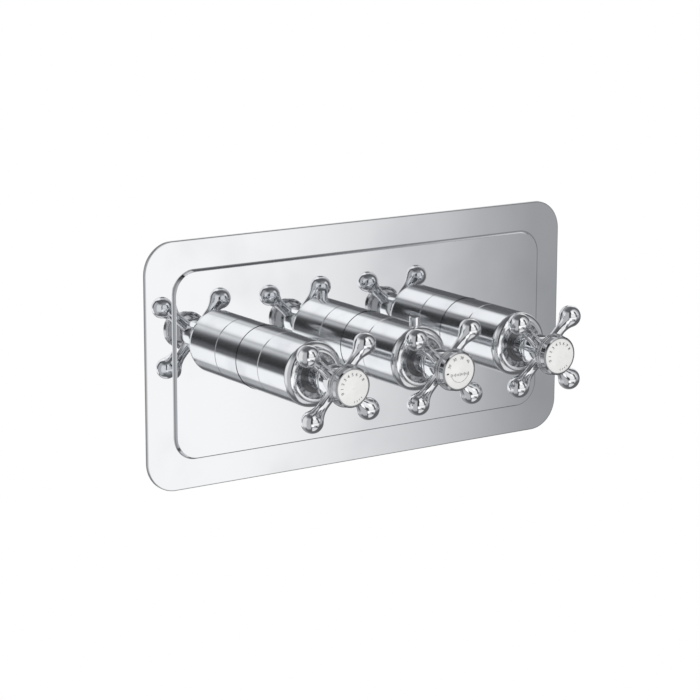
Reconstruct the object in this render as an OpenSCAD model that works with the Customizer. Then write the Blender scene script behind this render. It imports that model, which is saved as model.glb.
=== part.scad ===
// Concealed shower valve: a thermostatic control between two quarter-turn
// flow controls, all three behind one chromed plate.
// The origin is the middle of the four fixing screws, on the back of the
// body's feet. -Y points to the user, +X to the user's right, +Z up.

/* [Plate] */
// Width of the plate
plate_w = 305; // [285:1:340]
// Height of the plate
plate_h = 150; // [135:1:180]
// Radius of the plate's corners
plate_corner_r = 19; // [8:0.5:30]
// Thickness of the sheet that the plate is pressed from
plate_t = 2; // [1.6:0.1:2.6]
// Width of the raised panel
panel_w = 267; // [250:1:278]
// Height of the raised panel
panel_h = 112.5; // [100:0.5:125]
// Radius of the panel's corners
panel_corner_r = 14; // [6:0.5:20]
// How far the panel stands out of the border
panel_rise = 2.65; // [2:0.05:4]
// How far the panel's sloping edge spreads
panel_slope = 1.3; // [0.6:0.1:2.5]
// How far the plate's middle sits above the valves' axes
plate_lift = 0.8; // [0:0.1:2]
// How far the plate's middle sits to the left of the middle control
plate_shift = 1.7; // [0:0.1:2.5]

/* [Controls] */
// Distance between neighbouring controls
valve_pitch = 75; // [70:0.5:90]
// How far the left handle is turned at rest, in degrees
turn_left = 3.9; // [-10:0.1:10]
// How far the middle handle is turned at rest, in degrees
turn_mid = 2.5; // [-10:0.1:10]
// How far the right handle is turned at rest, in degrees
turn_right = 0.5; // [-10:0.1:10]
// Turn of the middle handle from full cold to its stop, in degrees
mix_turn = 210; // [120:5:230]
// Turn past the stop that the pressed button frees, in degrees
over_turn = 50; // [20:5:60]

/* [Sleeves] */
// Outer diameter of the sleeves
sleeve_d = 39.4; // [39:0.1:42]
// Length of the rear section, from the panel's face to the joint line
rear_len = 24; // [18:0.5:32]
// Length of the front section, from the joint line to the tip of the nose
front_len = 33.95; // [32:0.05:42]
// Radius of the rounded nose
nose_r = 5.2; // [3:0.1:5.3]
// Diameter of the shallow recess in the nose
recess_d = 28.2; // [25:0.1:28.6]
// Depth of that recess
recess_depth = 1.2; // [0.6:0.1:1.6]
// Diameter of the mouth that the handle's neck comes out of
mouth_d = 21.2; // [20:0.1:23]

/* [Handles] */
// Gap between the sleeve's nose and the handle's hub
handle_gap = 10.9; // [6:0.1:14]
// Width of the hub across its flats
hub_w = 18.6; // [18:0.1:20]
// Length of the hub
hub_len = 14.5; // [12:0.5:18]
// Diameter of the neck behind the hub
neck_d = 16; // [15.4:0.1:17]
// Diameter of an arm at its thinnest
arm_d = 6.4; // [5:0.1:7]
// Radius of the sweep from the arm into its ball
arm_sweep_r = 14; // [8:0.5:20]
// Diameter of the balls
ball_d = 12.6; // [10:0.1:14]
// Distance from the handle's axis to a ball's centre
ball_reach = 27.5; // [25:0.5:29]

/* [Bezel and index disc] */
// Diameter over the bezel's rear bead
bezel_d = 25.4; // [24.6:0.1:27]
// Length of the bezel
bezel_len = 11.8; // [11:0.1:14]
// Diameter of the index disc
disc_d = 21.8; // [20:0.1:22.2]
// Height of the index disc's dome
disc_dome = 0.9; // [0.3:0.1:1.5]

/* [Stop button] */
// Diameter of the button
button_d = 6.9; // [6:0.1:7.4]
// How far the button stands above the sleeve
button_rise = 5.5; // [4:0.1:7]
// Distance from the tip of the nose back to the button's axis
button_back = 7.8; // [7.2:0.1:8.4]
// How far the button goes in
button_travel = 2.1; // [1.5:0.1:2.1]

/* [Brass body] */
// Depth of the body's feet behind the wall face
body_depth = 66; // [64:0.5:80]
// Outer diameter of the threaded bosses that the sleeves screw on
boss_d = 32.3; // [32:0.1:33]
// Height of the outlets above the valves' axes
outlet_reach = 50; // [44:0.5:56]
// Bore of the half-inch outlet threads
outlet_bore_d = 18.6; // [18:0.1:19.2]
// Distance from the middle axis to each inlet, as a share of the pitch
inlet_share = 0.4; // [0.38:0.01:0.42]
// Length of the inlets below the valves' axes
inlet_reach = 58; // [56:0.5:64]
// Bore of the three-quarter-inch inlet threads
inlet_bore_d = 24.2; // [23.6:0.1:24.8]
// Distance between the fixing screws, up and down
screw_pitch_z = 48; // [44:1:56]

/* [Hidden] */
$fn = 64;

// Overrun of every cut, then the gaps of parts that are screwed together,
// that turn or slide in each other, and that only stay clear of each other
over = 0.6;
fit = 0.03;
slide = 0.05;
clear = 0.3;

// Which side of the middle axis a control or an inlet is on
left = -1;
mid = 0;
right = 1;

// Places along the controls' axes, counted outwards from the wall face, which
// stands body_depth in front of the origin
panel_face = plate_t + panel_rise;
joint_o = panel_face + rear_len;
nose_o = joint_o + front_len;
hub_o = nose_o + handle_gap;
hub_top = hub_o + hub_len;
button_o = nose_o - button_back;

// Plate, gasket and seals
edge_bevel = 0.5;
plate_gap = 0.25;
seal_wire_r = 1.2;
gasket_margin = 5;
sleeve_r = sleeve_d / 2;
seal_ring_r = sleeve_r + fit + seal_wire_r;

// Sleeves
boss_r = boss_d / 2;
joint_bevel = 0.4;
rear_tail = 8;
spigot_len = 5.5;
sleeve_wall = 2;
spigot_r = sleeve_r - sleeve_wall - fit;
nose_wall = 1.8;
nose_back = nose_o - recess_depth - nose_wall;
recess_r = recess_d / 2;
mouth_r = mouth_d / 2;
drum_r = 13;
drum_wall = 1.2;
cavity_r = drum_r + 2 * clear;
cavity_len = 10.6;

// Handle, its extension spindle and its screw
neck_r = neck_d / 2;
bush_flange_t = 1.15;
bush_o = nose_back - slide - bush_flange_t;
neck_tail = 0.1;
neck_o = bush_o - neck_tail;
hub_corner_r = 3;
hub_bevel = 0.8;
waist_depth = 0.8;
waist_r = 30;
arm_r = arm_d / 2;
ball_r = ball_d / 2;
arm_inset = 0.1;
arm_o = hub_top - arm_r - arm_inset;
ext_r = 6;
ext_flat = 5.2;
drive_len = 14;
socket_web = 3;
screw_room = 5;
screw_seat = hub_top - screw_room;
screw_head_r = 3.8;
screw_head_h = 3.2;
screw_r = 2;
screw_len = 14;
hex_socket_r = 2;
hex_socket_depth = 1.8;
ext_top = screw_seat - socket_web;

// Bezel and index disc
bezel_r = bezel_d / 2;
disc_r = disc_d / 2;
thread_r = 8.9;
thread_len = 5;
head_room_r = 6;
bead_r = 0.8;
bead_rise = 5.5;
second_bead_r = 0.5;
second_bead_rise = 7.1;
bezel_foot_r = 9.7;
bezel_web_r = 7.1;
bezel_step = 0.8;
bezel_taper = 0.1;
bezel_front_r = bezel_r - bezel_step;
bezel_rim_r = bezel_front_r - bezel_taper;
rim_bevel = 0.7;
disc_gap = 0.06;
disc_floor_rise = 8;
disc_edge_drop = 0.3;

// Stop button and its slotted drum
pocket_gap = 0.1;
button_r = button_d / 2;
button_skirt = 1.8;
button_crown = 2.3;
button_edge = 0.4;
crown_z = sleeve_r + button_rise;
skirt_z = sleeve_r - button_skirt;
pocket_z = skirt_z - button_travel - pocket_gap;
pin_r = 1.15;
tip_r = 1.9;
tip_len = 3.15;
tip_gap = 0.25;
tip_top = cavity_r - tip_gap;
drum_hub_r = 7.8;
drum_web = 1.2;
slot_gap = 0.2;
drum_half = 3.3;
tip_angle = asin((tip_r + clear) / (drum_r - drum_wall));
pin_angle = asin((pin_r + clear) / (drum_r - drum_wall));
button_wire_r = 0.35;
button_coil_r = 2;
button_turns = 5;

// Brass body
boss_front = 4;
shroud_len = 18;
shroud_r = 14.4;
cart_face = boss_front - shroud_len;
body_back = -body_depth;
flow_bore_r = 10.4;
flow_depth = 24;
flow_floor = cart_face - flow_depth;
gallery_depth = 10;
gallery_o = cart_face - gallery_depth;
gallery_r = 9.5;
gallery_bore_r = 5.5;
outlet_depth = 8;
outlet_o = flow_floor - outlet_depth;
outlet_port_r = 7;
outlet_pass_r = 6.5;
outlet_wall = 4.5;
outlet_bore_r = outlet_bore_d / 2;
outlet_thread_len = 14;
outlet_r = outlet_bore_r + outlet_wall;
outlet_hex_h = 12;
mid_r = 19;
mid_bore_r = 12.5;
mid_floor_t = 8;
mid_floor = body_back + mid_floor_t;
mid_neck = -12;
inlet_x = valve_pitch * inlet_share;
inlet_rise = 18;
inlet_o = body_back + inlet_rise;
inlet_wall = 3.6;
inlet_bore_r = inlet_bore_d / 2;
inlet_r = inlet_bore_r + inlet_wall;
inlet_thread_len = 16.5;
inlet_hex_h = 14;
check_bore_r = 10;
inlet_top = 2;
inlet_neck_r = 7;
port_r = 3.8;
port_drop = 6;

// Drive between a cartridge's spindle and its extension
stub_r = 4;
stub_flat = 3;
stub_len = 10;
stem_r = 4.9;
cart_neck_r = 8;
cart_neck_len = 6.5;
hex_h = 5.5;
stub_o = cart_face + hex_h + cart_neck_len;
stub_gap = 0.5;
ext_base = stub_o + stub_gap;

// Flow cartridge
flow_hex_af = 22;
cart_r = 9.6;
cart_thread_len = 5.5;
cart_cavity_r = 7.8;
cart_roof = 7;
cart_window_w = 6;
cart_window_h = 8;
cart_window_rise = 7;
cart_window_o = flow_floor + cart_window_rise;
ceramic_r = cart_cavity_r - slide;
fixed_disc_t = 3;
moving_disc_t = 2.6;
disc_hole_r = 2.4;
disc_hole_ring = 4.6;
driver_t = 4;
driver_bite_r = 2.8;
rib_w = 3.9;
rib_len = 12;
rib_h = 1;
moving_o = flow_floor + fixed_disc_t + slide;
driver_o = moving_o + moving_disc_t + slide;
driver_r = ceramic_r - slide;

// Thermostatic cartridge, from its rear seat forwards
thermo_hex_af = 24.6;
thermo_r = mid_bore_r - slide;
groove_r = 11;
cap_floor_t = 3;
hot_seat = mid_floor + cap_floor_t;
mix_throw = 1.02;
hot_gap = mix_throw + slide;
shuttle_len = 8.5;
cold_gap = 0.3;
shuttle_o = hot_seat + hot_gap;
cold_seat = shuttle_o + shuttle_len + cold_gap;
cap_bore_r = 9.4;
shuttle_r = cap_bore_r - slide;
shuttle_wall = 1.5;
hot_window_h = 2.2;
cold_window_h = 1.9;
window_w = 6;
housing_spigot_r = cap_bore_r - fit;
housing_bore_r = 7.6;
spigot_reach = 6.6;
housing_o = cold_seat + spigot_reach;
hub_ring_r = 6;
hub_ring_rise = 4.9;
hub_ring_o = shuttle_o + hub_ring_rise;
hub_ring_h = 2.5;
spoke_w = 2;
wax_r = 4.6;
wax_tail_r = 3;
wax_tail_len = 7;
wax_len = 14.6;
wax_o = hub_ring_o + hub_ring_h;
piston_r = 1.6;
piston_len = 4;
pusher_o = wax_o + wax_len + piston_len;
pusher_gap = 0.1;
pusher_r = housing_bore_r - pusher_gap;
pusher_flat = 6.2;
pusher_len = 10.5;
pusher_floor = 2;
mix_window_h = 5.3;
mix_window_drop = 1.2;
mix_window_o = pusher_o - mix_window_drop - mix_window_h;
guide_gap = 0.2;
guide_o = mix_window_o + mix_window_h + guide_gap;
spindle_flange_r = 6.1;
spindle_flange_t = 1.1;
journal_o = pusher_o + pusher_len + clear + spindle_flange_t + slide;
spindle_thread_gap = 1;
groove_land = 4.4;
mix_groove_end = cart_face - groove_land;
return_coil_r = 4;
return_wire_r = 0.5;
return_turns = 3.5;

// Strainer and non-return valve of an inlet, counted down the inlet
cage_top = 20;
cage_len = 18;
cage_r = check_bore_r - slide;
cage_wall = 1.35;
cage_seat_r = 5;
cage_seat_t = 2;
bridge_t = 2;
bridge_hole_r = 2.2;
bridge_hole_ring = 5.6;
poppet_r = 6.2;
poppet_t = 2.4;
poppet_stem_r = 1.5;
poppet_travel = 4;
stem_rise = 1;
check_wire_r = 0.4;
check_coil_r = 3.2;
check_turns = 5;
strainer_len = 3;
strainer_wall = 1.2;
mesh_t = 0.8;
mesh_hole_r = 1.1;
mesh_pitch = 3.4;

// Fixing screws, and the feet that reach from beside the inlets to the bosses
fixing_r = 2.4;
fixing_len = 20;
fixing_shank_r = 2.6;
fixing_head_af = 8;
fixing_head_h = 4;
fixing_washer_r = 5.6;
fixing_washer_t = 1.2;
washer_gap = 0.7;
screw_x = inlet_x + inlet_r + washer_gap + fixing_washer_r;
screw_hole_r = 2.75;
foot_t = 6;
foot_r = 7;
foot_h = screw_pitch_z + 2 * foot_r;
foot_margin = 9;
foot_bite = 2.15;
foot_in = screw_x - foot_margin;
foot_out = valve_pitch - boss_r + foot_bite;

chrome_tint = [0.82, 0.83, 0.85];
ceramic_tint = [0.93, 0.92, 0.88];
brass_tint = [0.78, 0.62, 0.32];
plastic_tint = [0.25, 0.26, 0.28];
rubber_tint = [0.12, 0.12, 0.13];
steel_tint = [0.66, 0.67, 0.69];

// Helpers. Inside outward() z counts from the wall face towards the user
module outward()
  translate([0, -body_depth, 0]) rotate([90, 0, 0]) children();

module control(side, turn = 0)
  outward() translate([side * valve_pitch, 0, 0]) rotate([0, 0, turn]) children();

module inlet(side)
  outward() translate([side * inlet_x, 0, inlet_o]) rotate([90, 0, 0]) children();

module up_from_axis(o)
  translate([0, 0, o]) rotate([-90, 0, 0]) children();

module rounded(w, h, r) {
  square([w - 2 * r, h], center = true);
  square([w, h - 2 * r], center = true);
  for (sx = [-1, 1], sy = [-1, 1])
    translate([sx * (w / 2 - r), sy * (h / 2 - r)]) circle(r);
}

// A slab whose sides slope in by `bevel` over its height
module sloped_slab(w, h, r, t, bevel)
  hull()
    for (sx = [-1, 1], sy = [-1, 1])
      translate([sx * (w / 2 - r), sy * (h / 2 - r), 0])
        cylinder(h = t, r1 = r + bevel, r2 = r, $fn = 64);

module hexagon(af, h)
  rotate([0, 0, 30]) cylinder(h = h, r = af / 2 / cos(30), $fn = 6);

module tube(h, outer, inner)
  difference() {
    cylinder(h = h, r = outer);
    translate([0, 0, -over]) cylinder(h = h + 2 * over, r = inner);
  }

// A round bar with two flats
module double_flat(r, flat, h)
  intersection() {
    cylinder(h = h, r = r);
    translate([-flat, -r - over, 0]) cube([2 * flat, 2 * (r + over), h]);
  }

// A sector of a disc, `span` degrees wide from the angle `start`
module sector(r, start, span)
  rotate([0, 0, start])
    rotate_extrude(angle = span) square([r, 1]);

// An open coil spring whose wire stays inside 0..len
module coil(mean_r, wire_r, len, turns) {
  sides = 6;
  steps = ceil(turns * 16);
  points = [for (i = [0:steps]) for (j = [0:sides - 1])
    let (a = 360 * turns * i / steps, b = 360 * j / sides,
         r = mean_r + wire_r * cos(b))
    [r * cos(a), r * sin(a),
     wire_r + (len - 2 * wire_r) * i / steps + wire_r * sin(b)]];
  walls = [for (i = [0:steps - 1]) for (j = [0:sides - 1])
    let (p = i * sides + j, q = i * sides + (j + 1) % sides)
    each [[p, p + sides, q], [q, p + sides, q + sides]]];
  start_cap = [for (j = [1:sides - 2]) [0, j, j + 1]];
  last = steps * sides;
  end_cap = [for (j = [1:sides - 2]) [last, last + j + 1, last + j]];
  polyhedron(points = points, faces = concat(walls, start_cap, end_cap), convexity = 10);
}

// Plate
module faceplate() color(chrome_tint) outward() difference() {
  translate([-plate_shift, plate_lift, 0]) difference() {
    union() {
      linear_extrude(plate_t - edge_bevel) rounded(plate_w, plate_h, plate_corner_r);
      translate([0, 0, plate_t - edge_bevel])
        sloped_slab(plate_w - 2 * edge_bevel, plate_h - 2 * edge_bevel,
          plate_corner_r - edge_bevel, edge_bevel, edge_bevel);
      translate([0, 0, plate_t])
        sloped_slab(panel_w, panel_h, panel_corner_r, panel_rise, panel_slope);
    }
    translate([0, 0, -over]) linear_extrude(panel_rise + over)
      rounded(panel_w - plate_t, panel_h - plate_t, panel_corner_r - plate_t / 2);
  }
  for (side = [left, mid, right])
    translate([side * valve_pitch, 0, -over])
      cylinder(h = panel_face + 2 * over, r = sleeve_r + plate_gap);
}

module plate_gasket() color(plastic_tint) outward() difference() {
  translate([-plate_shift, plate_lift, 0])
    linear_extrude(panel_rise - slide)
      rounded(panel_w - plate_t - gasket_margin, panel_h - plate_t - gasket_margin,
        panel_corner_r - plate_t / 2);
  for (side = [left, mid, right])
    translate([side * valve_pitch, 0, -over])
      cylinder(h = panel_rise + 2 * over, r = seal_ring_r + seal_wire_r + clear);
}

module sleeve_seals() color(rubber_tint)
  for (side = [left, mid, right])
    control(side) translate([0, 0, seal_wire_r])
      rotate_extrude() translate([seal_ring_r, 0]) circle(seal_wire_r);

// Sleeves
module rear_sleeve(side) color(chrome_tint) control(side) rotate_extrude()
  polygon([
    [boss_r + fit, -rear_tail],
    [sleeve_r, -rear_tail],
    [sleeve_r, joint_o - joint_bevel],
    [sleeve_r - joint_bevel, joint_o],
    [spigot_r, joint_o],
    [spigot_r, joint_o + spigot_len],
    [boss_r + fit, joint_o + spigot_len]
  ]);

module front_sleeve_profile() {
  shoulder_o = nose_o - nose_r;
  difference() {
    union() {
      polygon([
        [0, joint_o], [sleeve_r - joint_bevel, joint_o],
        [sleeve_r, joint_o + joint_bevel], [sleeve_r, shoulder_o], [0, shoulder_o]
      ]);
      translate([0, joint_o]) square([sleeve_r - nose_r, front_len]);
      intersection() {
        translate([sleeve_r - nose_r, shoulder_o]) circle(nose_r);
        translate([0, shoulder_o]) square([sleeve_r + over, nose_r + over]);
      }
    }
    translate([-over, joint_o - over])
      square([spigot_r + fit + over, nose_back - cavity_len - joint_o + over]);
    translate([-over, joint_o - over]) square([cavity_r + over, nose_back - joint_o + over]);
    translate([-over, joint_o - over]) square([mouth_r + over, front_len + 2 * over]);
    translate([-over, nose_o - recess_depth]) square([recess_r + over, recess_depth + over]);
  }
}

module front_sleeve(side) control(side) rotate_extrude() front_sleeve_profile();

// The middle sleeve has the button's pocket, drilled through for its pin
module front_sleeve_mid() color(chrome_tint) difference() {
  front_sleeve(mid);
  outward() up_from_axis(button_o) {
    translate([0, 0, pocket_z])
      cylinder(h = sleeve_r - pocket_z + over, r = button_r + pocket_gap);
    cylinder(h = sleeve_r, r = pin_r + pocket_gap);
  }
}

module neck_bushes() color(plastic_tint)
  for (side = [left, mid, right])
    control(side) rotate_extrude() polygon([
      [neck_r + slide, bush_o],
      [cavity_r - slide, bush_o],
      [cavity_r - slide, bush_o + bush_flange_t],
      [mouth_r - slide, bush_o + bush_flange_t],
      [mouth_r - slide, nose_o - recess_depth - slide],
      [neck_r + slide, nose_o - recess_depth - slide]
    ]);

// Cross handle
module hub_outline() difference() {
  rounded(hub_w, hub_w, hub_corner_r);
  for (a = [0:90:270])
    rotate(a) translate([hub_w / 2 - waist_depth + waist_r, 0]) circle(waist_r, $fn = 180);
}

module hub() {
  corner_reach = (hub_w / 2 - hub_corner_r) * sqrt(2) + hub_corner_r;
  intersection() {
    translate([0, 0, hub_o]) linear_extrude(hub_len) hub_outline();
    rotate_extrude() polygon([
      [0, hub_o], [corner_reach - hub_bevel, hub_o],
      [corner_reach + hub_bevel, hub_o + 2 * hub_bevel],
      [corner_reach + hub_bevel, hub_top - 2 * hub_bevel],
      [corner_reach - hub_bevel, hub_top], [0, hub_top]
    ]);
  }
}

// An arm along z, from inside the hub to the end of its ball
module arm() {
  sweep = sqrt(pow(ball_r + arm_sweep_r, 2) - pow(arm_r + arm_sweep_r, 2));
  rotate_extrude() {
    translate([0, hub_w / 4]) square([arm_r, ball_reach - sweep - hub_w / 4]);
    difference() {
      polygon([[0, ball_reach - sweep], [arm_r + arm_sweep_r, ball_reach - sweep],
        [0, ball_reach]]);
      translate([arm_r + arm_sweep_r, ball_reach - sweep]) circle(arm_sweep_r, $fn = 128);
    }
    intersection() {
      translate([0, ball_reach]) circle(ball_r);
      translate([0, ball_reach - ball_r]) square([ball_r, 2 * ball_r]);
    }
  }
}

module handle(side, turn) color(chrome_tint) control(side, turn) difference() {
  union() {
    translate([0, 0, neck_o]) cylinder(h = hub_o - neck_o + over, r = neck_r);
    hub();
    for (a = [45:90:315])
      rotate([0, 0, a]) translate([0, 0, arm_o]) rotate([0, 90, 0]) arm();
    translate([0, 0, hub_top - over]) cylinder(h = thread_len + over, r = thread_r);
  }
  translate([0, 0, neck_o - over])
    cylinder(h = ext_top - drive_len - neck_o + over, r = ext_r + fit);
  translate([0, 0, ext_top - drive_len - over])
    double_flat(ext_r + fit, ext_flat + fit, drive_len + over + slide);
  cylinder(h = hub_top, r = screw_r + clear);
  translate([0, 0, screw_seat])
    cylinder(h = hub_top - screw_seat + thread_len + over, r = head_room_r);
}

module handle_screw(side, turn) color(steel_tint) control(side, turn) difference() {
  union() {
    translate([0, 0, screw_seat]) cylinder(h = screw_head_h, r = screw_head_r);
    translate([0, 0, screw_seat - screw_len]) cylinder(h = screw_len, r = screw_r);
  }
  translate([0, 0, screw_seat + screw_head_h - hex_socket_depth])
    cylinder(h = hex_socket_depth + over, r = hex_socket_r, $fn = 6);
}

module bezel(side, turn) color(chrome_tint) control(side, turn) rotate_extrude()
  translate([0, hub_top]) {
    polygon([
      [thread_r + fit, 0],
      [bezel_foot_r, 0],
      [bezel_front_r - bead_r, bead_rise - bead_r],
      [bezel_front_r, bead_rise],
      [bezel_front_r, second_bead_rise],
      [bezel_rim_r, bezel_len - rim_bevel],
      [bezel_rim_r - rim_bevel, bezel_len],
      [disc_r + disc_gap, bezel_len],
      [disc_r + disc_gap, disc_floor_rise],
      [bezel_web_r, disc_floor_rise],
      [bezel_web_r, thread_len + fit],
      [thread_r + fit, thread_len + fit]
    ]);
    translate([bezel_r - bead_r, bead_rise]) circle(bead_r);
    translate([bezel_front_r, second_bead_rise]) circle(second_bead_r);
  }

module index_disc(side, turn) color(ceramic_tint) control(side, turn) {
  dome_r = (disc_r * disc_r + disc_dome * disc_dome) / (2 * disc_dome);
  edge_h = bezel_len - disc_floor_rise - disc_edge_drop;
  translate([0, 0, hub_top + disc_floor_rise]) rotate_extrude() intersection() {
    square([disc_r, edge_h + disc_dome]);
    translate([0, edge_h + disc_dome - dome_r]) circle(dome_r, $fn = 360);
  }
}

module extension(side, turn) color(brass_tint) control(side, turn) difference() {
  union() {
    translate([0, 0, ext_base]) cylinder(h = ext_top - drive_len - ext_base, r = ext_r);
    translate([0, 0, ext_top - drive_len - over])
      double_flat(ext_r, ext_flat, drive_len + over);
  }
  translate([0, 0, ext_base - over])
    double_flat(stub_r + fit, stub_flat + fit, stub_len + over);
  translate([0, 0, ext_top - drive_len]) cylinder(h = drive_len + over, r = screw_r + fit);
}

// Stop drum: the button's tip runs in the wide slot up to the stop, and its
// thin pin alone can follow on along the narrow slot
module stop_drum() color(brass_tint) control(mid, turn_mid) {
  drum_o = button_o - drum_half - drum_web / 2;
  drum_end = bush_o - clear;
  difference() {
    union() {
      translate([0, 0, drum_o]) tube(drum_web, drum_r, ext_r + fit);
      translate([0, 0, drum_o]) tube(drum_end - drum_o, drum_hub_r, ext_r + fit);
      translate([0, 0, drum_o]) tube(drum_end - drum_o, drum_r, drum_r - drum_wall);
    }
    difference() {
      union() {
        translate([0, 0, button_o - tip_r - slot_gap]) scale([1, 1, 2 * (tip_r + slot_gap)])
          sector(drum_r + over, 90 - turn_mid - tip_angle, mix_turn + 2 * tip_angle);
        translate([0, 0, button_o - pin_r - slot_gap]) scale([1, 1, 2 * (pin_r + slot_gap)])
          sector(drum_r + over, 90 - turn_mid - over_turn - pin_angle,
            over_turn + pin_angle);
      }
      cylinder(h = nose_o, r = drum_hub_r + clear);
    }
  }
}

// Stop button, with its pin and the tip that stops the drum
module stop_button() color(chrome_tint) outward() up_from_axis(button_o) {
  rotate_extrude() polygon([
    [0, crown_z - button_crown],
    [button_coil_r + 2 * button_wire_r, crown_z - button_crown],
    [button_coil_r + 2 * button_wire_r, skirt_z],
    [button_r, skirt_z],
    [button_r, crown_z - button_edge],
    [button_r - button_edge, crown_z],
    [0, crown_z]
  ]);
  translate([0, 0, tip_top - tip_len / 2])
    cylinder(h = crown_z - button_crown - tip_top + tip_len / 2 + over, r = pin_r);
  translate([0, 0, tip_top - tip_len]) cylinder(h = tip_len, r = tip_r);
}

module button_spring() color(steel_tint) outward() up_from_axis(button_o)
  translate([0, 0, pocket_z])
    coil(button_coil_r, button_wire_r, crown_z - button_crown - pocket_z, button_turns);

// Flow cartridge
module flow_cartridge(side) color(brass_tint) control(side) difference() {
  union() {
    translate([0, 0, flow_floor]) cylinder(h = cart_face - flow_floor, r = cart_r);
    translate([0, 0, cart_face - cart_thread_len])
      cylinder(h = cart_thread_len, r = flow_bore_r - fit);
    translate([0, 0, cart_face]) hexagon(flow_hex_af, hex_h);
    translate([0, 0, cart_face]) cylinder(h = hex_h + cart_neck_len, r = cart_neck_r);
  }
  translate([0, 0, flow_floor - over])
    cylinder(h = cart_face - cart_roof - flow_floor + over, r = cart_cavity_r);
  translate([0, 0, flow_floor]) cylinder(h = stub_o - flow_floor + over, r = stem_r + slide);
  translate([-cart_r - over, -cart_window_w / 2, cart_window_o])
    cube([2 * (cart_r + over), cart_window_w, cart_window_h]);
}

// Two opposite holes through a ceramic disc, at an angle
module disc_holes(o, t, angle)
  for (a = [angle, angle + 180])
    rotate([0, 0, a]) translate([disc_hole_ring, 0, o - over])
      cylinder(h = t + 2 * over, r = disc_hole_r);

module fixed_disc(side) color(ceramic_tint) control(side) difference() {
  translate([0, 0, flow_floor]) cylinder(h = fixed_disc_t, r = ceramic_r);
  disc_holes(flow_floor, fixed_disc_t, 90);
}

// Closed at rest: its holes stand across those of the fixed disc
module moving_disc(side) color(ceramic_tint) control(side) difference() {
  translate([0, 0, moving_o]) cylinder(h = moving_disc_t, r = ceramic_r);
  disc_holes(moving_o, moving_disc_t, 0);
  translate([-rib_w / 2 - slide, -rib_len / 2 - slide, moving_o + moving_disc_t - rib_h - slide])
    cube([rib_w + 2 * slide, rib_len + 2 * slide, rib_h + slide + over]);
}

module flow_spindle(side, turn) color(brass_tint) control(side) {
  difference() {
    translate([0, 0, driver_o]) cylinder(h = driver_t, r = driver_r);
    for (a = [0, 180])
      rotate([0, 0, a]) translate([driver_r, 0, driver_o - over])
        cylinder(h = driver_t + 2 * over, r = driver_bite_r);
  }
  translate([-rib_w / 2, -rib_len / 2, driver_o - rib_h - slide])
    cube([rib_w, rib_len, rib_h + slide + over]);
  translate([0, 0, driver_o]) cylinder(h = stub_o - driver_o, r = stem_r);
  rotate([0, 0, turn]) translate([0, 0, stub_o - over])
    double_flat(stub_r, stub_flat, stub_len - over);
}

// Thermostatic cartridge
module windows(o, h)
  for (a = [0:90:270])
    rotate([0, 0, a]) translate([housing_bore_r - over, -window_w / 2, o])
      cube([mid_bore_r, window_w, h]);

module thermo_cap() color(brass_tint) control(mid) difference() {
  translate([0, 0, mid_floor]) cylinder(h = housing_o - mid_floor, r = thermo_r);
  translate([0, 0, hot_seat]) cylinder(h = housing_o - hot_seat + over, r = cap_bore_r);
  windows(hot_seat, hot_window_h);
  windows(cold_seat - cold_window_h, cold_window_h);
  for (o = [hot_seat - clear, cold_seat - cold_window_h - clear])
    translate([0, 0, o]) tube(hot_window_h + 2 * clear, mid_bore_r + over, groove_r);
}

module thermo_housing() color(brass_tint) control(mid) difference() {
  union() {
    translate([0, 0, cold_seat]) cylinder(h = spigot_reach + over, r = housing_spigot_r);
    translate([0, 0, housing_o]) cylinder(h = cart_face - housing_o, r = thermo_r);
    translate([0, 0, cart_face]) hexagon(thermo_hex_af, hex_h);
    translate([0, 0, cart_face]) cylinder(h = hex_h + cart_neck_len, r = cart_neck_r);
  }
  translate([0, 0, cold_seat - over])
    cylinder(h = guide_o - cold_seat + over, r = housing_bore_r);
  translate([0, 0, guide_o - over])
    double_flat(housing_bore_r, pusher_flat + slide, journal_o - guide_o + over);
  translate([0, 0, guide_o]) cylinder(h = stub_o - guide_o + over, r = stem_r + slide);
  windows(mix_window_o, mix_window_h);
  translate([0, 0, mix_window_o - clear])
    tube(mix_groove_end - mix_window_o + clear, mid_bore_r + over, groove_r);
}

module temp_spindle() color(brass_tint) control(mid, turn_mid) {
  thread_o = pusher_o + pusher_floor + spindle_thread_gap;
  translate([0, 0, thread_o]) cylinder(h = journal_o - thread_o, r = stub_r);
  translate([0, 0, journal_o - spindle_flange_t - slide])
    cylinder(h = spindle_flange_t, r = spindle_flange_r);
  translate([0, 0, journal_o - spindle_flange_t])
    cylinder(h = stub_o - journal_o + spindle_flange_t, r = stem_r);
  translate([0, 0, stub_o - over]) double_flat(stub_r, stub_flat, stub_len - over);
}

module pusher() color(brass_tint) control(mid) difference() {
  translate([0, 0, pusher_o]) double_flat(pusher_r, pusher_flat, pusher_len);
  translate([0, 0, pusher_o + pusher_floor]) cylinder(h = pusher_len, r = stub_r + slide);
}

module wax_element() color(brass_tint) control(mid) {
  translate([0, 0, wax_o - wax_tail_len]) cylinder(h = wax_tail_len + over, r = wax_tail_r);
  translate([0, 0, wax_o]) cylinder(h = wax_len, r = wax_r);
  translate([0, 0, wax_o + wax_len - over]) cylinder(h = piston_len + over, r = piston_r);
}

module shuttle() color(steel_tint) control(mid) {
  translate([0, 0, shuttle_o]) tube(shuttle_len, shuttle_r, shuttle_r - shuttle_wall);
  translate([0, 0, hub_ring_o]) tube(hub_ring_h, hub_ring_r, wax_tail_r + fit);
  for (a = [0:120:240])
    rotate([0, 0, a]) translate([hub_ring_r - over, -spoke_w / 2, hub_ring_o])
      cube([shuttle_r - shuttle_wall - hub_ring_r + 2 * over, spoke_w, hub_ring_h]);
}

module return_spring() color(steel_tint) control(mid)
  translate([0, 0, hot_seat])
    coil(return_coil_r, return_wire_r, hub_ring_o - hot_seat, return_turns);

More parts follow.
